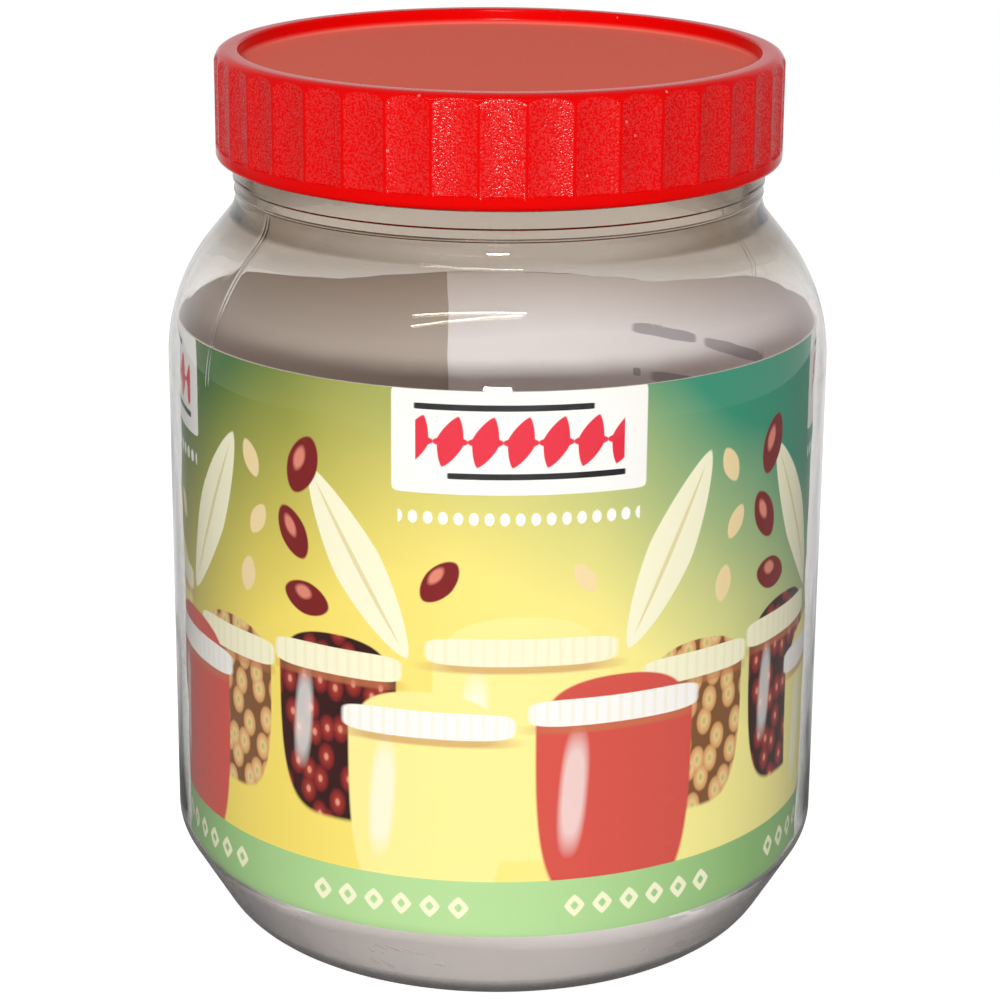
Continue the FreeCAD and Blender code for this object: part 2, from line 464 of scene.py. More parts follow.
cut = minus(times(centre, calc("COSINE", aside)), calc("SQRT", calc("MAXIMUM", reach, 0.0)))
depth = calc("MAXIMUM", minus(radius, cut), 0.0)
above = calc("GREATER_THAN", xyz["Z"], given["Bottom"])
within = calc("LESS_THAN", calc("ABSOLUTE", aside), given["Half Angle"])
rows = in_rows(fluting, given["First Row"], given["Last Row"])
where = times(times(above, within), rows)
taken = times(depth, where)
narrower = minus(radius, taken)
scooped = limited(over(taken, 0.05 * MM))
remembered = add(
    fluting,
    "GeometryNodeStoreNamedAttribute",
    {"Geometry": given["Mesh"], "Name": "scooped", "Value": scooped},
    data_type="FLOAT",
    domain="POINT",
)
wire(fluting, at_radius(fluting, remembered.outputs[0], here, radius, narrower), made["Mesh"])
print("flute group has", len(fluting.nodes), "nodes")

# %% [markdown]
# ## The mould line
# The two halves of a blow mould meet in a plane, and the plastic creeps a little into the gap. That
# leaves a pair of fine ridges on opposite sides of the jar, a few hundredths of a millimetre high.
# As real geometry they bend light and catch the lamp as the jar's own ridges do.

# %% The mould line group
lining, given, made = moving_group(
    "raise a mould line",
    {"Azimuth": 0.0, "Height": 0.06 * MM, "Spacing": 0.4 * MM, "Width": 0.3 * MM},
)
here, xyz, radius = polar(lining)
azimuth = calc("ARCTAN2", xyz["X"], times(xyz["Y"], -1.0))
halves = over(minus(azimuth, given["Azimuth"]), math.pi)
turn = times(minus(halves, calc("ROUND", halves)), math.pi)
aside = calc("ABSOLUTE", times(turn, radius))
from_ridge = calc("ABSOLUTE", minus(aside, given["Spacing"]))
ridge = limited(minus(1.0, over(from_ridge, given["Width"])))
rows = in_rows(lining, given["First Row"], given["Last Row"])
lifted = times(times(ridge, rows), given["Height"])
wire(lining, at_radius(lining, given["Mesh"], here, radius, plus(radius, lifted)), made["Mesh"])
print("mould line group has", len(lining.nodes), "nodes")

# %% [markdown]
# ## Uneven blowing
# Blown plastic is never quite even. Slow noise moves the outside of the wall by a few hundredths of
# a millimetre, which is enough to break up the highlights and to bend what is seen through it.

# %% The uneven wall group
blowing, given, made = moving_group("blow unevenly", {"Height": 0.02 * MM, "Scale": 120.0})
here, xyz, radius = polar(blowing)
centred = minus(noise(here, given["Scale"], 1.0), 0.75)
rows = in_rows(blowing, given["First Row"], given["Last Row"])
shift = times(times(centred, rows), given["Height"])
wire(blowing, at_radius(blowing, given["Mesh"], here, radius, plus(radius, shift)), made["Mesh"])
print("uneven wall group has", len(blowing.nodes), "nodes")

# %% [markdown]
# ## One tree for each turned piece
# Each piece gets its own tree, which runs the turning group and then the groups that it needs,
# joins the seam and the middle, and ends in Realize Instances and Set Material. A modifier's
# inputs are set by their identifiers before the object is first looked at. The result is then
# made a plain mesh, because the modifier's live result can't be exported with its materials.

# %% Helpers that run a tree


def piece_tree(name, steps):
    """A tree that turns a drawing and then applies other groups, each with its own inputs."""
    sockets = [
        ("Drawing", "NodeSocketGeometry", None),
        ("Points", "NodeSocketInt", 10),
        ("Columns", "NodeSocketInt", 36),
    ]
    for group, label in steps:
        for item in group.interface.items_tree:
            if item.in_out == "INPUT" and item.name != "Mesh":
                sockets.append((label + item.name, item.socket_type, item.default_value))
    sockets.append(("Finish", "NodeSocketMaterial", None))
    tree, given, made = new_group(name, "GeometryNodeTree", sockets, [("Mesh", "NodeSocketGeometry")])
    node = add(tree, "GeometryNodeGroup", node_tree=turning)
    for title in ("Drawing", "Points", "Columns"):
        wire(tree, given[title], node.inputs[title])
    for group, label in steps:
        following = add(tree, "GeometryNodeGroup", {}, node_tree=group)
        wire(tree, node.outputs[0], following.inputs["Mesh"])
        for item in group.interface.items_tree:
            if item.in_out == "INPUT" and item.name != "Mesh":
                wire(tree, given[label + item.name], following.inputs[item.name])
        node = following
    merged = add(
        tree, "GeometryNodeMergeByDistance", {"Geometry": node.outputs[0], "Distance": 0.002 * MM}
    )
    real = add(tree, "GeometryNodeRealizeInstances", {"Geometry": merged.outputs[0]})
    finish = add(
        tree, "GeometryNodeSetMaterial", {"Geometry": real.outputs[0], "Material": given["Finish"]}
    )
    wire(tree, finish.outputs[0], made["Mesh"])
    return tree


def drawing_mesh(name, line, columns):
    """The numbers for the turning group: the cross-section, then the columns' directions."""
    points = [(radius * MM, 0, height * MM) for radius, height in line]
    points += [(direction, 0, 0) for direction in columns]
    mesh = bpy.data.meshes.new(name)
    mesh.from_pydata(points, [], [])
    return mesh


def made_piece(name, tree, line, columns, values, sharp_above):
    """Run the tree and keep its result as a plain, closed, smooth mesh with outward faces."""
    piece = bpy.data.objects.new(name, drawing_mesh(name + " drawing", line, columns))
    bpy.context.scene.collection.objects.link(piece)
    modifier = piece.modifiers.new("shape", "NODES")
    modifier.node_group = tree
    values = {"Points": len(line), "Columns": len(columns), **values}
    for item in tree.interface.items_tree:
        if item.in_out == "INPUT" and item.name in values:
            modifier[item.identifier] = values[item.name]
    evaluated = piece.evaluated_get(bpy.context.evaluated_depsgraph_get())
    mesh = bpy.data.meshes.new_from_object(evaluated)
    piece.modifiers.clear()
    piece.data = mesh
    work = bmesh.new()
    work.from_mesh(mesh)
    bmesh.ops.remove_doubles(work, verts=work.verts, dist=0.002 * MM)
    bmesh.ops.recalc_face_normals(work, faces=work.faces)
    open_edges = sum(1 for edge in work.edges if not edge.is_manifold)
    volume = work.calc_volume(signed=True)
    if volume < 0:
        bmesh.ops.reverse_faces(work, faces=work.faces)
    work.to_mesh(mesh)
    work.free()
    mesh.shade_smooth()
    mesh.set_sharp_from_angle(angle=math.radians(sharp_above))
    mesh.name = name
    print(name, len(mesh.polygons), "faces", open_edges, "open edges", round(volume * 1e6, 2), "cm3")
    return piece


# %% [markdown]
# ## The clear jar
# Even columns would do for the smooth body. The mould line needs a few more at its two places, on
# opposite sides of the jar, where the halves of the mould met.

# %% Make the jar
MOULD_LINE = -57.0


def even_columns(count):
    """Directions in degrees, once round, with the first repeated at the end."""
    return [-180 + 360 * number / count for number in range(count + 1)]


jar_columns = set(even_columns(360))
for side in (MOULD_LINE, MOULD_LINE + 180):
    for aside in (0, 0.22, 0.45, 0.67, 0.9):
        jar_columns |= {side + aside, side - aside}
jar_columns = [math.radians(d) for d in sorted(jar_columns)]
clear_plastic = bpy.data.materials.new("clear plastic")
jar_rows = {
    "shoulder": next(n for n, point in enumerate(jar_line) if point[0] > 50 and point[1] > 93),
    "wall": len(drawn(jar_base, jar_wall[:1])) - 1,
    "neck": len(drawn(jar_base, jar_wall)) - 1,
    "finish": len(drawn(jar_base, jar_wall, jar_neck)),
    "lip": len(drawn(jar_base, jar_wall, jar_neck, jar_finish)) - 1,
}
jar_tree = piece_tree("clear jar", [(threading, "Thread "), (blowing, "Blown "), (lining, "Line ")])
jar_piece = made_piece(
    "clear_jar",
    jar_tree,
    jar_line,
    jar_columns,
    {
        "Thread First Row": float(jar_rows["finish"]),
        "Thread Last Row": float(jar_rows["lip"]),
        "Thread Height": 1.1 * MM,
        "Blown First Row": float(jar_rows["wall"] + 2),
        "Blown Last Row": float(jar_rows["neck"] - 1),
        "Blown Height": 0.045 * MM,
        "Blown Scale": 150.0,
        "Line First Row": float(jar_rows["shoulder"]),
        "Line Last Row": float(jar_rows["neck"]),
        "Line Azimuth": math.radians(MOULD_LINE),
        "Line Height": 0.06 * MM,
        "Finish": clear_plastic,
    },
    40,
)
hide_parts("jar")
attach(jar_piece, "root")

# %% [markdown]
# ## The lid's cross-section
# The lid is a cap with a sunk top panel inside a raised edge. Its skirt hangs down over the neck,
# and a plain band is left below the flutes. Two rows lie close together at the foot of the flutes,
# so that each flute ends there in a crisp little step.

# %% Draw the lid
SKIRT_INSIDE = 41.6
PANEL_SINK = 2.4
TOP_ROUND = 1.8
BOTTOM_ROUND = 0.9
EDGE_WIDTH = 1.4
EDGE_INNER_ROUND = 0.4
PANEL_FILLET = 0.8
FLUTE_BOTTOM = 124.4
panel_top = LID_TOP - PANEL_SINK
edge_outside = LID_RADIUS - TOP_ROUND
edge_inside = edge_outside - EDGE_WIDTH
recess = edge_inside - EDGE_INNER_ROUND
lid_top = drawn(
    stretch((0, panel_top), (recess - PANEL_FILLET, panel_top), 12),
    bend(recess - PANEL_FILLET, panel_top + PANEL_FILLET, PANEL_FILLET, 270, 360, 6),
    bend(edge_inside, LID_TOP - EDGE_INNER_ROUND, EDGE_INNER_ROUND, 180, 90, 5),
)
lid_skirt = drawn(
    bend(edge_outside, LID_TOP - TOP_ROUND, TOP_ROUND, 90, 0, 14),
    stretch((LID_RADIUS, LID_TOP - TOP_ROUND), (LID_RADIUS, FLUTE_BOTTOM + 0.1), 8),
    stretch((LID_RADIUS, FLUTE_BOTTOM), (LID_RADIUS, LID_BOTTOM + BOTTOM_ROUND), 1),
)
lid_foot = bend(LID_RADIUS - BOTTOM_ROUND, LID_BOTTOM + BOTTOM_ROUND, BOTTOM_ROUND, 0, -90, 7)
lid_inside = drawn(
    stretch((SKIRT_INSIDE, LID_BOTTOM), (SKIRT_INSIDE, RIM - PANEL_FILLET), 36),
    bend(SKIRT_INSIDE - PANEL_FILLET, RIM - PANEL_FILLET, PANEL_FILLET, 0, 90, 4),
    [(0, RIM)],
)
lid_line = drawn(lid_top, lid_skirt, lid_foot, lid_inside)
print("lid drawn with", len(lid_line), "points")

# %% [markdown]
# ## The ribbed lid
# Forty flutes with a narrow land between each two give the fingers a hold. The columns crowd at
# the flutes' edges: two of them, a tenth of a millimetre apart, stand on each side of an edge, and
# smooth shading between them gives the slightly rounded edge that a mould leaves.

# %% Make the lid
FLUTES = 40
FRONT_FLUTE = 0.7
HALF_ANGLE = 4.3
lid_columns = []
for number in range(FLUTES):
    middle = FRONT_FLUTE + number * 360 / FLUTES
    for aside in (0, 1.0, 2.0, 3.0, 3.7, 4.1, 4.29, 4.42):
        lid_columns += [middle + aside, middle - aside] if aside else [middle]
lid_columns = sorted(math.radians(d) for d in lid_columns)
lid_columns.append(lid_columns[0] + math.tau)
red_plastic = bpy.data.materials.new("red plastic")
skirt_first = len(drawn(lid_top))
skirt_last = len(drawn(lid_top, lid_skirt))
inside_first = len(drawn(lid_top, lid_skirt, lid_foot))
lid_tree = piece_tree("ribbed lid", [(threading, "Thread "), (fluting, "Flute ")])
lid_piece = made_piece(
    "ribbed_lid",
    lid_tree,
    lid_line,
    lid_columns,
    {
        "Thread First Row": float(inside_first),
        "Thread Last Row": float(inside_first + 36),
        "Thread Height": -1.0 * MM,
        "Thread Start": 124.5 * MM,
        "Flute First Row": float(skirt_first),
        "Flute Last Row": float(skirt_last),
        "Flute Flutes": float(FLUTES),
        "Flute First Azimuth": math.radians(FRONT_FLUTE),
        "Flute Half Angle": math.radians(HALF_ANGLE),
        "Flute Radius": LID_RADIUS * MM,
        "Flute Bottom": (FLUTE_BOTTOM + 0.05) * MM,
        "Finish": red_plastic,
    },
    40,
)
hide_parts("lid")
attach(lid_piece, "root")

# %% [markdown]
# ## The rolled card
# The card is a flat printed sheet, sprung open inside the jar until it meets the wall, with its
# ends lapped at the back. A sheet that is rolled like this lies on a spiral, so each column of the
# mesh sits a little nearer the axis than the one before. The UV map is the flat sheet itself, in
# centimetres along it and up it, so that the print is laid out as on the printer's table.

# %% Make the card
CARD_THICKNESS = 0.3
CARD_OUTER_RADIUS = 49.4
CARD_INNER_END = 190.0
CARD_LAP = 24.0
CARD_STEPS = 512
CARD_MIDDLE_RADIUS = 49.2
CM_PER_DEGREE = math.radians(CARD_MIDDLE_RADIUS) / 10
card_work = bmesh.new()
flat = card_work.loops.layers.uv.new("flat sheet")
rings = []
for step in range(CARD_STEPS + 1):
    along = (360 + CARD_LAP) * step / CARD_STEPS
    azimuth = CARD_INNER_END - along
    turn = math.radians(azimuth)
    outer = CARD_OUTER_RADIUS - 0.35 * (360 + CARD_LAP - along) / 360
    corners = []
    for radius, height in (
        (outer, CARD_BOTTOM),
        (outer, CARD_TOP),
        (outer - CARD_THICKNESS, CARD_TOP),
        (outer - CARD_THICKNESS, CARD_BOTTOM),
    ):
        spot = (radius * math.sin(turn) * MM, -radius * math.cos(turn) * MM, height * MM)
        corners.append(card_work.verts.new(spot))
    rings.append((azimuth * CM_PER_DEGREE, corners))
sheet_height = (CARD_TOP - CARD_BOTTOM) / 10
heights = (0, sheet_height, sheet_height, 0)
for (along_a, ring_a), (along_b, ring_b) in zip(rings, rings[1:]):
    for side in range(4):
        after = (side + 1) % 4
        face = card_work.faces.new((ring_a[side], ring_a[after], ring_b[after], ring_b[side]))
        face.material_index = (0, 2, 1, 2)[side]
        spots = ((along_a, side), (along_a, after), (along_b, after), (along_b, side))
        for loop, (along, level) in zip(face.loops, spots):
            loop[flat].uv = (along, heights[level])
for along, ring in (rings[0], rings[-1]):
    face = card_work.faces.new(ring)
    face.material_index = 2
    for loop, level in zip(face.loops, range(4)):
        loop[flat].uv = (along, heights[level])
bmesh.ops.recalc_face_normals(card_work, faces=card_work.faces)
if card_work.calc_volume(signed=True) < 0:
    bmesh.ops.reverse_faces(card_work, faces=card_work.faces)
card_mesh = bpy.data.meshes.new("printed_card")
card_work.to_mesh(card_mesh)
card_work.free()
card_mesh.shade_smooth()
card_mesh.set_sharp_from_angle(angle=math.radians(40))
card_piece = bpy.data.objects.new("printed_card", card_mesh)
bpy.context.scene.collection.objects.link(card_piece)
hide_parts("card")
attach(card_piece, "root")
print("card has", len(card_mesh.polygons), "faces")

# %% [markdown]
# ## Marks that handling leaves
# Fine specks and short scratches show on a lid that has been handled. One shader group makes both:
# the specks are the middles of a few Voronoi cells, and the scratches are noise that is stretched
# one way. The material sets how many there are. A group only hands out numbers, and the shaders
# themselves stay in the materials.

# %% The wear group
marking, given, made = new_group(
    "fine marks",
    "ShaderNodeTree",
    [
        ("Place", "NodeSocketVector", None),
        ("Specks", "NodeSocketFloat", 0.1),
        ("Scratches", "NodeSocketFloat", 0.1),
    ],
    [("Specks", "NodeSocketFloat"), ("Scratches", "NodeSocketFloat")],
)
cells = add(
    marking,
    "ShaderNodeTexVoronoi",
    {"Vector": given["Place"], "Scale": 900.0, "Randomness": 1.0},
    feature="F1",
)
dot = calc("LESS_THAN", cells.outputs["Distance"], 0.22)
chosen = add(marking, "ShaderNodeSeparateColor", {0: cells.outputs["Color"]}).outputs[0]
rare = calc("LESS_THAN", chosen, times(given["Specks"], 0.2))
wire(marking, times(dot, rare), made["Specks"])
stretched = add(
    marking,
    "ShaderNodeMapping",
    {"Vector": given["Place"], "Rotation": (0.4, 0.2, 0.7), "Scale": (60.0, 1400.0, 500.0)},
).outputs[0]
streaks = noise(stretched, 1.0, 1.0)
patches = noise(given["Place"], 70.0, 2.0)
line_here = calc("GREATER_THAN", streaks, 0.68)
patch_here = calc("GREATER_THAN", patches, minus(0.72, given["Scratches"]))
wire(marking, times(line_here, patch_here), made["Scratches"])
print("wear group has", len(marking.nodes), "nodes")

# %% [markdown]
# ## Helpers for the materials
# Every material starts from an empty tree. Two steps come back again and again: an even slope
# between two values, which the Map Range node gives, and a colour between two colours, which the
# Mix node gives.

# %% Helpers for materials


def material_tree(material):
    """The node tree of a material, cleared except for its output."""
    material.use_nodes = True
    tree = material.node_tree
    for node in list(tree.nodes):
        tree.nodes.remove(node)
    return tree, add(tree, "ShaderNodeOutputMaterial").inputs["Surface"]


def between(value, low, high):
    """0 below low, 1 above high and an even slope between them."""
    limits = {"Value": value, "From Min": low, "From Max": high}
    return add(value.id_data, "ShaderNodeMapRange", limits, clamp=True).outputs[0]


def blend(amount, first, second):
    """A colour between two colours."""
    colours = {0: amount, 6: first, 7: second}
    node = add(amount.id_data, "ShaderNodeMix", colours, data_type="RGBA", clamp_factor=True)
    return node.outputs[2]


# %% [markdown]
# ## Red lid plastic
# The lid is glossy where the mould was polished: on the ridges, the raised edge and the band under
# the flutes. The flutes and the sunk panel carry the fine grain of spark erosion, which scatters
# light. The flutes' own attribute says where the grain goes, so it ends exactly at their edges.
# Only the peaks of that grain have a clear coat: a lamp sets single peaks sparkling, and the rest
# of the flute stays a deep red. The panel has no gloss at all; instead its colour is paled towards
# pink, a painted reflection of the room's light on its matt grain.

# %% The lid's material
LID_RED = (0.70, 0.0005, 0.0005, 1)
LID_RED_BRIGHTER = (0.76, 0.001, 0.0005, 1)
# painted reflection: a pale pink that stands in for room light mirrored on the matt panel
PANEL_PAINTED_SHEEN_RED = (0.86, 0.22, 0.165, 1)
SPECK = (0.85, 0.35, 0.3, 1)
GRAIN_SCALE = 3300.0
GRAIN_DEPTH = 0.13 * MM
GLOSS = 0.08
SHEEN = 0.55
red, surface = material_tree(red_plastic)
spot = add(red, "ShaderNodeTexCoord").outputs["Object"]
xyz = split(spot)
squares = plus(calc("POWER", xyz["X"], 2.0), calc("POWER", xyz["Y"], 2.0))
radius = calc("SQRT", squares)
low_enough = between(xyz["Z"], (LID_TOP - 1.0) * MM, (LID_TOP - 1.4) * MM)
inside_edge = between(radius, recess * MM, (recess - 0.3) * MM)
upper = calc("GREATER_THAN", xyz["Z"], (RIM + 0.5) * MM)
panel = times(times(low_enough, inside_edge), upper)
scooped = add(red, "ShaderNodeAttribute", attribute_name="scooped").outputs["Fac"]
grainy = calc("MAXIMUM", scooped, panel)
grain = noise(spot, GRAIN_SCALE, 1.0)
flow = noise(spot, 45.0, 2.0)
amounts = {"Place": spot, "Specks": 0.06, "Scratches": 0.1}
marks = add(red, "ShaderNodeGroup", amounts, node_tree=marking)
pure = blend(flow, LID_RED, LID_RED_BRIGHTER)
# painted reflection: the panel's colour is paled towards pink in place of mirrored room light
panel_with_painted_sheen = blend(times(panel, 0.8), pure, PANEL_PAINTED_SHEEN_RED)
speckled = blend(times(marks.outputs["Specks"], 0.5), panel_with_painted_sheen, SPECK)
rough = plus(0.14, times(grainy, 0.26))
rough = plus(rough, times(panel, 0.35))
rough = plus(rough, times(marks.outputs["Scratches"], 0.2))
height = times(grain, plus(times(grainy, 0.95), 0.05))
peaks = between(grain, 0.46, 0.56)
sheen = times(times(scooped, peaks), SHEEN)
gloss = times(minus(1.0, panel), GLOSS)
bumps = add(
    red, "ShaderNodeBump", {"Strength": 0.65, "Distance": GRAIN_DEPTH, "Height": height}
).outputs[0]
plastic = add(
    red,
    "ShaderNodeBsdfPrincipled",
    {
        "Base Color": speckled,
        "Roughness": rough,
        "Normal": bumps,
        "IOR": 1.5,
        "Specular IOR Level": gloss,
        "Coat Weight": sheen,
        "Coat IOR": 2.0,
        "Coat Roughness": 0.2,
        "Coat Normal": bumps,
    },
)
wire(red, plastic.outputs[0], surface)
print("lid material has", len(red.nodes), "nodes")

# %% [markdown]
# ## Clear plastic
# Clear plastic bends the light that passes it, so the wall is modelled with its real thickness and
# given a transmitting shader with the plastic's refractive index. Lamps can't find their way
# through such a wall by chance. Rays that look for a lamp, and rays that scatter from the card,
# meet a plain see-through shader instead, and the card is lit once and evenly.
#
# The shoulder, the neck and the base get a grey-brown tint. The plastic was blown out least there
# and is a little thicker, but most of that tint is painted shade that stands in for the dim room
# seen through the plastic. A slow cloud makes the tint begin at an uneven height. The foot is
# slightly frosted, and a few scuffs on the wall are hazy.

# %% The clear plastic's material
REFRACTIVE_INDEX = 1.575
BODY_TINT = (0.985, 0.98, 0.975, 1)
# painted shade: these tints are mostly the dim room seen through the plastic, painted in; thicker
# plastic gives only a little
SHOULDER_TINT_AND_PAINTED_SHADE = (0.97, 0.955, 0.94, 1)
NECK_TINT_AND_PAINTED_SHADE = (0.47, 0.405, 0.34, 1)
BASE_TINT_AND_PAINTED_SHADE = (0.80, 0.77, 0.75, 1)
clear, surface = material_tree(clear_plastic)
spot = add(clear, "ShaderNodeTexCoord").outputs["Object"]
height = split(spot)["Z"]
cloud = noise(spot, 22.0, 0.0)
height = plus(height, times(cloud, 8 * MM))
lower_shoulder = between(height, 98 * MM, 106 * MM)
upper_shoulder = between(height, 109 * MM, 117 * MM)
base = between(height, 20 * MM, 16 * MM)
# tint and painted shade: the grey-brown on the shoulder, neck and base stands mostly for the dim room
# seen through
tint_and_painted_shade = blend(lower_shoulder, BODY_TINT, SHOULDER_TINT_AND_PAINTED_SHADE)
tint_and_painted_shade = blend(upper_shoulder, tint_and_painted_shade, NECK_TINT_AND_PAINTED_SHADE)
tint_and_painted_shade = blend(base, tint_and_painted_shade, BASE_TINT_AND_PAINTED_SHADE)
drawn_out = add(
    clear, "ShaderNodeVectorMath", {0: spot, 1: (60, 1400, 500)}, operation="MULTIPLY"
).outputs[0]
scuffs = noise(drawn_out, 1.0, 0.0)
haze = times(calc("GREATER_THAN", scuffs, 0.8), 0.12)
haze = plus(haze, times(base, 0.22))
wall = add(
    clear,
    "ShaderNodeBsdfPrincipled",
    {
        "Base Color": tint_and_painted_shade,
        "Roughness": haze,
        "IOR": REFRACTIVE_INDEX,
        "Transmission Weight": 1.0,
        "Specular Tint": (0.45, 0.45, 0.45, 1),
    },
)
open_way = add(clear, "ShaderNodeBsdfTransparent", {"Color": (0.99, 0.985, 0.98, 1)})
path = add(clear, "ShaderNodeLightPath").outputs
lighting = calc("MAXIMUM", path["Is Shadow Ray"], path["Is Diffuse Ray"])
switch = add(clear, "ShaderNodeMixShader", {0: lighting, 1: wall.outputs[0], 2: open_way.outputs[0]})
wire(clear, switch.outputs[0], surface)
print("clear plastic has", len(clear.nodes), "nodes")

# %% [markdown]
# ## A shape for the print
# The print is made of flat fields and simple shapes. One group gives an oval, a lozenge or a bar
# with soft edges at any place, size and tilt: Roundness 2 is an oval, and a high value is a bar
# with square corners.

# %% The shape group
shaping, given, made = new_group(
    "printed shape",
    "ShaderNodeTree",
    [
        ("Place", "NodeSocketVector", None),
        ("Centre", "NodeSocketVector", None),
        ("Half Size", "NodeSocketVector", None),
        ("Tilt", "NodeSocketFloat", 0.0),
        ("Roundness", "NodeSocketFloat", 2.0),
        ("Softness", "NodeSocketFloat", 0.1),
    ],
    [("Ink", "NodeSocketFloat")],
)
shifted = add(
    shaping, "ShaderNodeVectorMath", {0: given["Place"], 1: given["Centre"]}, operation="SUBTRACT"
).outputs[0]
turn = {"Vector": shifted, "Angle": given["Tilt"]}
turned = add(shaping, "ShaderNodeVectorRotate", turn, rotation_type="Z_AXIS").outputs[0]
scaled = add(
    shaping, "ShaderNodeVectorMath", {0: turned, 1: given["Half Size"]}, operation="DIVIDE"
).outputs[0]
outward = add(shaping, "ShaderNodeVectorMath", {0: scaled}, operation="ABSOLUTE").outputs[0]
parts = split(outward)
powers = plus(
    calc("POWER", parts["X"], given["Roundness"]),
    calc("POWER", parts["Y"], given["Roundness"]),
)
out = calc("POWER", powers, over(1.0, given["Roundness"]))
edge = over(minus(1.0, out), given["Softness"])
wire(shaping, limited(plus(edge, 0.5)), made["Ink"])
print("shape group has", len(shaping.nodes), "nodes")

# %% [markdown]
# ## The flat sheet
# The print is laid out on the flat sheet, in millimetres along it and up it. The design repeats
# four times round the jar, so the run along the sheet is folded into one repeat. The print is then
# a pile of shapes, each with its colour, as a printer lays one ink over another.

# %% Lay out the print
print_ink = bpy.data.materials.new("card print")
card, surface = material_tree(print_ink)
sheet = add(card, "ShaderNodeUVMap", uv_map="flat sheet").outputs[0]
xy = split(sheet)
along = over(xy["X"], CM_PER_DEGREE)
REPEAT = 90.0
PANEL_AZIMUTH = 4.0
counted = over(minus(along, PANEL_AZIMUTH), REPEAT)
local_degrees = times(minus(counted, calc("ROUND", counted)), REPEAT)
local_mm = times(local_degrees, CM_PER_DEGREE * 10)
up_mm = times(xy["Y"], 10.0)
local = add(card, "ShaderNodeCombineXYZ", {"X": local_mm, "Y": up_mm}).outputs[0]


def shape(centre, half_size, tilt=0.0, roundness=2.0, softness=0.06, place=None):
    """A shape of the print, in millimetres from the middle of its repeat and the sheet's foot."""
    node = add(
        card,
        "ShaderNodeGroup",
        {
            "Place": place or local,
            "Centre": (*centre, 0),
            "Half Size": (*half_size, 1),
            "Tilt": math.radians(tilt),
            "Roundness": roundness,
            "Softness": softness,
        },
        node_tree=shaping,
    )
    return node.outputs[0]


# %% [markdown]
# ## Ground and panel
# The ground runs from deep green, high up and at the jar's sides, to yellow in the middle and low
# down. The pull towards yellow at the front and back of the jar and towards green at its sides is
# painted shade that follows the front lamp, not the print's repeat. Over it lie a white panel with
# a red ornament between two black rules, and a row of white pearls. Ornament and pearls are one
# shape each, repeated in equal steps.

# %% The ground and the panel
GREEN = (0.05, 0.16, 0.025, 1)
SEA_GREEN = (0.03, 0.29, 0.18, 1)
GOLD = (0.93, 0.76, 0.15, 1)
YELLOW = (0.94, 0.87, 0.32, 1)
CREAM = (0.96, 0.94, 0.70, 1)
WHITE = (0.96, 0.96, 0.95, 1)
BLACK = (0.01, 0.01, 0.012, 1)
BRIGHT_RED = (0.78, 0.025, 0.055, 1)
DARK_RED = (0.20, 0.008, 0.01, 1)
AMBER = (0.66, 0.085, 0.065, 1)
PALE_YELLOW = (0.95, 0.87, 0.33, 1)
BAND_GREEN = (0.46, 0.73, 0.34, 1)
# painted shade: paler towards the front and back of the jar and darker at its sides, as the front lamp
# falls off
front_painted_light = calc("COSINE", times(plus(along, 8.0), math.radians(2)))
lean = minus(times(up_mm, 0.02), times(front_painted_light, 0.4))
wander = noise(sheet, 0.5, 1.0)
lean = plus(lean, times(wander, 0.16))
side = between(calc("SINE", times(along, math.radians(1))), -0.6, 0.6)
pale = blend(side, GOLD, YELLOW)
deep = blend(side, GREEN, SEA_GREEN)
ink = blend(between(lean, 0.80, 1.72), pale, deep)
panel = shape((0, 75.9), (18.5, 7.7), roundness=30.0, softness=0.01)
ink = blend(panel, ink, WHITE)


def repeated(pitch):
    """The sheet's place with its run along the foot folded into equal steps about zero."""
    steps = over(local_mm, pitch)
    rest = times(minus(steps, calc("ROUND", steps)), pitch)
    return add(card, "ShaderNodeCombineXYZ", {"X": rest, "Y": up_mm}).outputs[0]


reach = calc("LESS_THAN", calc("ABSOLUTE", local_mm), 15.0)
leaf = shape((0, 75.9), (1.9, 3.9), 18.0, 1.35, place=repeated(5.0))
ink = blend(times(leaf, reach), ink, BRIGHT_RED)
stalk = shape((0, 75.9), (2.6, 0.75), 0.0, 2.0, 0.12, place=repeated(5.0))
ink = blend(times(stalk, reach), ink, BRIGHT_RED)
ink = blend(shape((-2.4, 80.9), (12.8, 0.45), roundness=20.0, softness=0.02), ink, BLACK)
ink = blend(shape((2.4, 70.9), (12.8, 0.45), roundness=20.0, softness=0.02), ink, BLACK)
pearl = shape((0, 64.6), (0.7, 0.95), softness=0.15, place=repeated(2.2))
reach = calc("LESS_THAN", calc("ABSOLUTE", local_mm), 17.6)
ink = blend(times(pearl, reach), ink, WHITE)
print("ground and panel laid")

# %% [markdown]
# ## Leaves and loose seeds
# Two pale leaves lean towards each other, and red and tan seeds lie loose between them. Each leaf
# has a darker midrib, and each red seed a soft lighter spot that makes it look round.

# %% Leaves and loose seeds
for centre, tilt in (((-24.0, 56.5), -30.0), ((23.0, 58.0), 26.0)):
    ink = blend(shape(centre, (4.0, 15.5), tilt, 1.5, 0.03), ink, CREAM)
    ink = blend(shape(centre, (0.35, 13.0), tilt, 1.6, 0.15), ink, (0.80, 0.72, 0.40, 1))
for centre, size, tilt in (
    ((-33.0, 70.0), (2.6, 4.6), 20.0),
    ((-34.8, 59.5), (2.4, 4.2), -28.0),
    ((-32.5, 49.8), (4.0, 2.5), 14.0),
    ((-11.5, 55.0), (2.2, 3.8), 40.0),
):
    ink = blend(shape(centre, size, tilt, 1.8, 0.08), ink, DARK_RED)
    nearer = (centre[0] - 0.5, centre[1] + 0.9)
    spot_size = (size[0] * 0.35, size[1] * 0.4)
    ink = blend(shape(nearer, spot_size, tilt, 1.8, 0.5), ink, (0.75, 0.25, 0.18, 1))
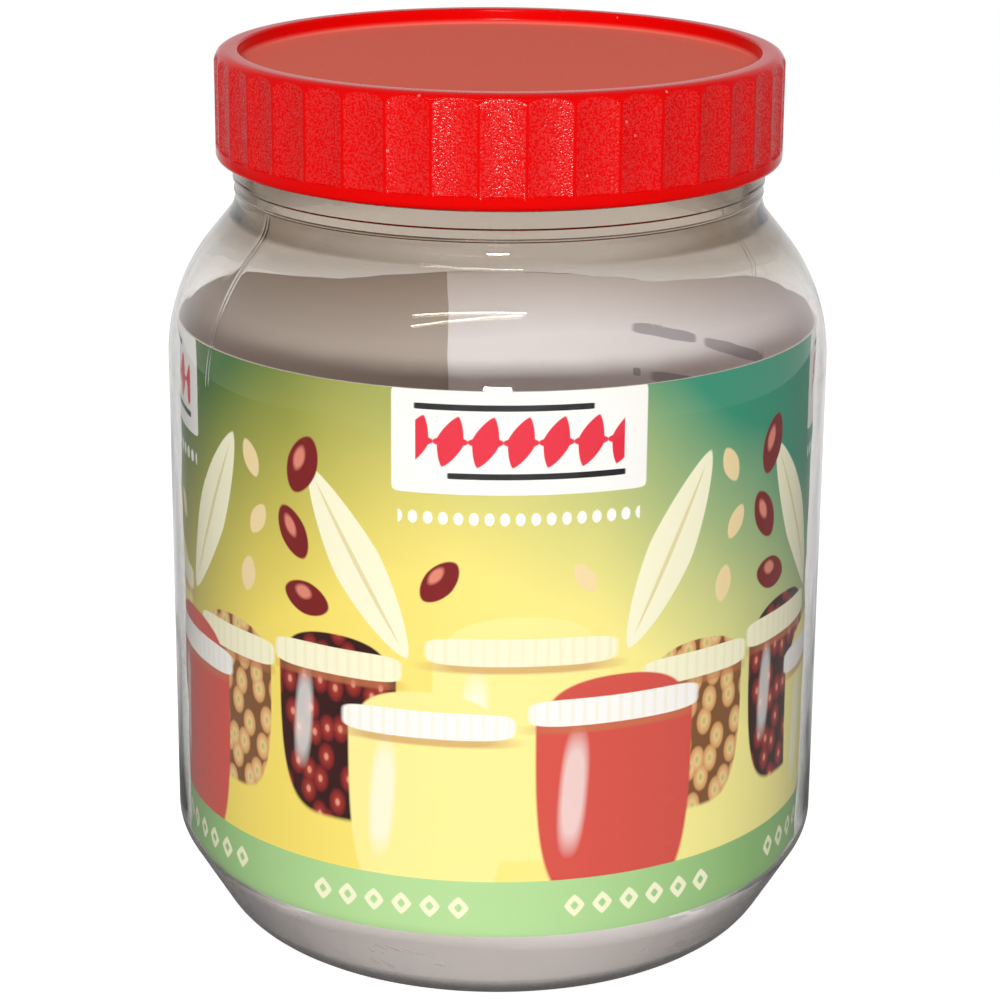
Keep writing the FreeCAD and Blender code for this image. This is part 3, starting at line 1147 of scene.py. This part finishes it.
for centre, size, tilt in (
    ((34.0, 69.0), (1.6, 2.9), -25.0),
    ((35.4, 60.0), (1.5, 2.7), 30.0),
    ((33.0, 51.0), (1.6, 2.8), 10.0),
    ((9.5, 55.5), (1.4, 2.5), -35.0),
):
    ink = blend(shape(centre, size, tilt, 1.7, 0.12), ink, (0.90, 0.72, 0.40, 1))
print("leaves and loose seeds laid")

# %% [markdown]
# ## Bowls and what they hold
# Five bowls stand in a row, the front ones over the ones behind. Two hold seeds, which are Voronoi
# cells: close to its middle a cell is skin with a glint, and further out it is the dark between
# the seeds. Each bowl is a heap, a body, a soft shine, the shadow under its lip and a ribbed lip.

# %% Bowls and what they hold
slanted = add(
    card, "ShaderNodeMapping", {"Vector": local, "Rotation": (0, 0, 0.5), "Scale": (1.35, 0.9, 1)}
).outputs[0]
pebbles = add(
    card,
    "ShaderNodeTexVoronoi",
    {"Vector": slanted, "Scale": 0.24, "Randomness": 0.75},
    feature="F1",
    voronoi_dimensions="2D",
)
seed = between(pebbles.outputs["Distance"], 0.50, 0.42)
lit = between(pebbles.outputs["Distance"], 0.42, 0.10)
glint = between(pebbles.outputs["Distance"], 0.16, 0.08)
red_skin = blend(lit, (0.16, 0.008, 0.01, 1), (0.42, 0.04, 0.025, 1))
red_skin = blend(times(glint, 0.7), red_skin, (0.85, 0.42, 0.30, 1))
red_seeds = blend(seed, (0.03, 0.004, 0.004, 1), red_skin)
tan_skin = blend(lit, (0.66, 0.34, 0.12, 1), (0.93, 0.66, 0.34, 1))
tan_skin = blend(times(glint, 0.8), tan_skin, (0.45, 0.52, 0.12, 1))
tan_seeds = blend(seed, (0.22, 0.09, 0.03, 1), tan_skin)
BOWLS = (
    (-27.8, 41.0, 9.9, red_seeds, CREAM),
    (28.6, 39.5, 9.1, tan_seeds, CREAM),
    (0.5, 44.5, 13.0, PALE_YELLOW, CREAM),
    (-13.5, 33.0, 12.0, PALE_YELLOW, WHITE),
    (15.0, 35.0, 12.5, AMBER, WHITE),
)
for middle, rim, half, filling, rim_colour in BOWLS:
    below = calc("LESS_THAN", up_mm, rim)
    heap = shape((middle, rim), (half * 0.86, half * 0.42), 0.0, 2.2, 0.05)
    ink = blend(heap, ink, filling)
    bowl = shape((middle, rim), (half, half * 2.5), 0.0, 3.6, 0.03)
    ink = blend(times(bowl, below), ink, filling)
    shine = shape((middle - half * 0.55, rim - half * 1.0), (half * 0.15, half * 0.68), 4.0, 2.6, 0.5)
    ink = blend(times(shine, 0.6), ink, WHITE)
    under = shape((middle, rim - 2.4), (half * 1.0, 0.8), 0.0, 4.0, 0.5)
    ink = blend(times(under, 0.6), ink, (0.55, 0.20, 0.08, 1))
    lip = shape((middle, rim), (half * 1.08, 2.1), 0.0, 5.0, 0.05)
    ink = blend(lip, ink, rim_colour)
    ribs = calc("SINE", times(local_mm, 3.4))
    shade = times(between(ribs, 0.2, 1.0), 0.22)
    ink = blend(times(lip, shade), ink, (0.80, 0.66, 0.34, 1))
print("bowls laid")

# %% [markdown]
# ## The band at the foot
# A green band with a border of open lozenges closes the print. Like the ground, the band is painted
# lighter towards the front of the jar and darker at its sides, a painted shade. A very faint mottle
# over everything stands for the printer's dots, and the finished ink goes into one matt shader.

# %% The band at the foot and the finished print
band = calc("LESS_THAN", up_mm, 8.7)
# painted shade: the band's green is lighter facing the front lamp and darker at the jar's sides
band_with_painted_shade = blend(between(front_painted_light, -0.5, 1.0), (0.26, 0.50, 0.18, 1), BAND_GREEN)
ink = blend(band, ink, band_with_painted_shade)
row_place = repeated(4.3)
lozenge = shape((0, 4.4), (1.55, 1.75), 0.0, 1.2, 0.12, place=row_place)
hollow = shape((0, 4.4), (0.6, 0.7), 0.0, 1.2, 0.3, place=row_place)
border = minus(lozenge, hollow)
gap = calc("GREATER_THAN", calc("ABSOLUTE", local_mm), 6.4)
edge_gap = calc("LESS_THAN", calc("ABSOLUTE", local_mm), 32.3)
border = times(border, times(gap, edge_gap))
ink = blend(border, ink, (0.90, 0.92, 0.66, 1))
screen = noise(sheet, 60.0, 1.0)
ink = blend(times(between(screen, 0.45, 0.75), 0.06), ink, BLACK)
print("print has", len(card.nodes), "nodes")
card_finish = add(
    card,
    "ShaderNodeBsdfPrincipled",
    {"Base Color": ink, "Roughness": 0.55, "Specular IOR Level": 0.15},
)
wire(card, card_finish.outputs[0], surface)

# %% [markdown]
# ## The reverse and the cut edge
# The inside of the card shows through the shoulder. Most of it is grey-brown, with a white part
# that carries a few plain grey bars. The cut edge of the board is pale and matt.

# %% The reverse and the cut edge
card_back = bpy.data.materials.new("card reverse")
back, surface = material_tree(card_back)
sheet = add(back, "ShaderNodeUVMap", uv_map="flat sheet").outputs[0]
xy = split(sheet)
along = over(xy["X"], CM_PER_DEGREE)
white = times(calc("GREATER_THAN", along, 84.0), calc("LESS_THAN", along, 190.5))
REVERSE_GREY_BROWN = (0.56, 0.50, 0.43, 1)
BOARD_WHITE = (0.99, 0.98, 0.975, 1)
BAR_GREY = (0.22, 0.21, 0.23, 1)
paper = blend(white, REVERSE_GREY_BROWN, BOARD_WHITE)
for first, last, level, depth in (
    (152.0, 137.0, 6.98, 0.10),
    (134.5, 117.0, 6.96, 0.10),
    (151.6, 149.9, 6.22, 0.07),
    (147.5, 127.0, 6.18, 0.11),
    (152.0, 130.0, 5.40, 0.10),
):
    bar = add(
        back,
        "ShaderNodeGroup",
        {
            "Place": sheet,
            "Centre": ((first + last) / 2 * CM_PER_DEGREE, level, 0),
            "Half Size": ((first - last) / 2 * CM_PER_DEGREE, depth, 1),
            "Roundness": 5.0,
            "Softness": 0.12,
        },
        node_tree=shaping,
    ).outputs[0]
    paper = blend(times(bar, 0.6), paper, BAR_GREY)
card_under = add(back, "ShaderNodeBsdfPrincipled", {"Base Color": paper, "Roughness": 0.7})
wire(back, card_under.outputs[0], surface)
card_edge = bpy.data.materials.new("card cut edge")
edge_tree, surface = material_tree(card_edge)
CUT_EDGE = (0.85, 0.83, 0.78, 1)
cut = add(edge_tree, "ShaderNodeBsdfPrincipled", {"Base Color": CUT_EDGE, "Roughness": 0.8})
wire(edge_tree, cut.outputs[0], surface)
for material in (print_ink, card_back, card_edge):
    card_mesh.materials.append(material)

# %% [markdown]
# ## Camera
# The camera looks a little down at the jar from the front, from nine body radii away, through a
# long lens. It is turned by less than a degree, as a hand-held camera is.

# %% Set the camera
CAMERA_BACK = 457.0
CAMERA_UP = 210.1
LOOK_DOWN = math.radians(17.39)
ROLL = 0.0075
camera_data = bpy.data.cameras.new("camera")
camera_data.lens = 108.98
camera_data.sensor_width = 36
camera_data.shift_x = 0.0035
camera_data.clip_start = 0.01
camera = bpy.data.objects.new("camera", camera_data)
bpy.context.scene.collection.objects.link(camera)
level = Vector((1, 0, 0))
upwards = Vector((0, math.sin(LOOK_DOWN), math.cos(LOOK_DOWN)))
right = level * math.cos(ROLL) + upwards * math.sin(ROLL)
up = upwards * math.cos(ROLL) - level * math.sin(ROLL)
back_axis = right.cross(up)
turned_axes = Matrix((right, up, back_axis)).transposed().to_4x4()
camera.matrix_world = Matrix.Translation((0, -CAMERA_BACK * MM, CAMERA_UP * MM)) @ turned_axes
bpy.context.scene.camera = camera
print("camera at", [round(v, 4) for v in camera.matrix_world.translation])

# %% [markdown]
# ## What mirrors and clear plastic see
# The view itself is white all round. Were everything white for mirrored rays too, the jar's sides
# and the lid would show a pale veil. So a ray that has been mirrored once sees a dim room, a little
# brighter straight behind the jar. The group works on a direction and hands out a number.

# %% The backdrop group
backdrop, given, made = new_group(
    "behind the jar",
    "ShaderNodeTree",
    [("Direction", "NodeSocketVector", None)],
    [("Amount", "NodeSocketFloat")],
)
level_way = add(
    backdrop, "ShaderNodeVectorMath", {0: given["Direction"], 1: (1, 1, 0)}, operation="MULTIPLY"
).outputs[0]
unit = add(backdrop, "ShaderNodeVectorMath", {0: level_way}, operation="NORMALIZE").outputs[0]
ahead = split(unit)["Y"]
behind = between(ahead, 0.62, 0.90)
wire(backdrop, plus(times(behind, 0.5), 0.15), made["Amount"])


def seen_white(tree, direction):
    """How much of the white a ray sees, and how bright its direction is: mirrors see a dim room."""
    path = add(tree, "ShaderNodeLightPath").outputs
    amount = add(tree, "ShaderNodeGroup", {"Direction": direction}, node_tree=backdrop).outputs[0]
    mirrored = calc("GREATER_THAN", path["Glossy Depth"], 0.5)
    bright = calc("MAXIMUM", amount, minus(1.0, mirrored))
    seen = calc("MAXIMUM", path["Is Camera Ray"], path["Is Glossy Ray"])
    seen = calc("MAXIMUM", seen, path["Is Transmission Ray"])
    first = calc("LESS_THAN", path["Diffuse Depth"], 0.5)
    return times(times(seen, bright), first), bright


print("backdrop group has", len(backdrop.nodes), "nodes")

# %% [markdown]
# ## Floor
# The floor is a plain white sheet. A matte shader takes the jar's shadow and a little emission lifts
# it to white where the camera looks, also through the plastic.

# %% Lay the floor
floor_mesh = bpy.data.meshes.new("floor")
corners = [(-0.5, -0.3, 0), (0.5, -0.3, 0), (0.5, 0.6, 0), (-0.5, 0.6, 0)]
floor_mesh.from_pydata(corners, [], [(0, 1, 2, 3)])
floor = bpy.data.objects.new("floor", floor_mesh)
bpy.context.scene.collection.objects.link(floor)
floor_paint = bpy.data.materials.new("floor white")
paint, surface = material_tree(floor_paint)
lift = add(paint, "ShaderNodeEmission", {"Color": (1, 1, 1, 1), "Strength": 0.72})
floor_spot = add(paint, "ShaderNodeTexCoord").outputs["Object"]
seen, bright = seen_white(paint, floor_spot)
shade = times(bright, 0.9)
grey = add(paint, "ShaderNodeCombineColor", {"Red": shade, "Green": shade, "Blue": shade}).outputs[0]
matte = add(paint, "ShaderNodeBsdfDiffuse", {"Color": grey})
dark = add(paint, "ShaderNodeEmission", {"Color": (0, 0, 0, 1), "Strength": 0.0})
shown = add(paint, "ShaderNodeMixShader", {0: seen, 1: dark.outputs[0], 2: lift.outputs[0]})
both = add(paint, "ShaderNodeAddShader", {0: matte.outputs[0], 1: shown.outputs[0]})
wire(paint, both.outputs[0], surface)
floor_mesh.materials.append(floor_paint)

# %% [markdown]
# ## Light
# An even pale sky fills the shadows. One wide lamp near the line of view lights the front, sparkles
# in the lid's grain and shades the inside of the card. Two thin warm tubes overhead give the pair
# of fine streaks on the shoulder, as tubes in a ceiling do.

# %% Light the jar
world = bpy.data.worlds.new("light tent")
bpy.context.scene.world = world
world.use_nodes = True
sky = world.node_tree
for node in list(sky.nodes):
    sky.nodes.remove(node)
sky_way = add(sky, "ShaderNodeTexCoord").outputs["Generated"]
seen, bright = seen_white(sky, sky_way)
fill = add(sky, "ShaderNodeBackground", {"Color": (1, 1, 1, 1), "Strength": 0.33})
white_tent = add(sky, "ShaderNodeBackground", {"Color": (1, 1, 1, 1), "Strength": 1.0})
mixed = add(sky, "ShaderNodeMixShader", {0: seen, 1: fill.outputs[0], 2: white_tent.outputs[0]})
wire(sky, mixed.outputs[0], add(sky, "ShaderNodeOutputWorld").inputs["Surface"])


def panel_lamp(name, place, aim, width, height, power, spin=0.0):
    """A flat lamp that faces a point, turned about that line by spin degrees."""
    data = bpy.data.lights.new(name, "AREA")
    data.shape = "RECTANGLE"
    data.size = width
    data.size_y = height
    data.energy = power
    lamp = bpy.data.objects.new(name, data)
    bpy.context.scene.collection.objects.link(lamp)
    lamp.location = place
    facing = (Vector(aim) - Vector(place)).to_track_quat("-Z", "Y")
    lamp.rotation_euler = (facing @ Quaternion((0, 0, 1), math.radians(spin))).to_euler()
    return lamp


FRONT_POWER = 38.0
TUBE_POWER = 1.3
TUBE_COLOUR = (1.0, 0.93, 0.75)
TUBES = ((1, (-0.15, -0.56, 0.96), 12.0), (2, (-0.17, -0.62, 0.92), 20.0))
panel_lamp("front lamp", (0.0, -2.4, 0.646), (0, 0, 0.07), 0.38, 0.09, FRONT_POWER)
for number, place, spin in TUBES:
    tube = panel_lamp("ceiling tube " + str(number), place, (0, 0, 0.1), 0.6, 0.014, TUBE_POWER, spin)
    tube.data.color = TUBE_COLOUR

# %% [markdown]
# ## Colours
# The Standard view shows each colour as it was mixed, without the film-like curve that a new file
# starts with.

# %% Show colours as they are
bpy.context.scene.view_settings.view_transform = "Standard"
print("view transform", bpy.context.scene.view_settings.view_transform)

# %% [markdown]
# ## Bringing the scene up to date
# The scene is updated once more at the end.

# %% Update the scene
bpy.context.view_layer.update()
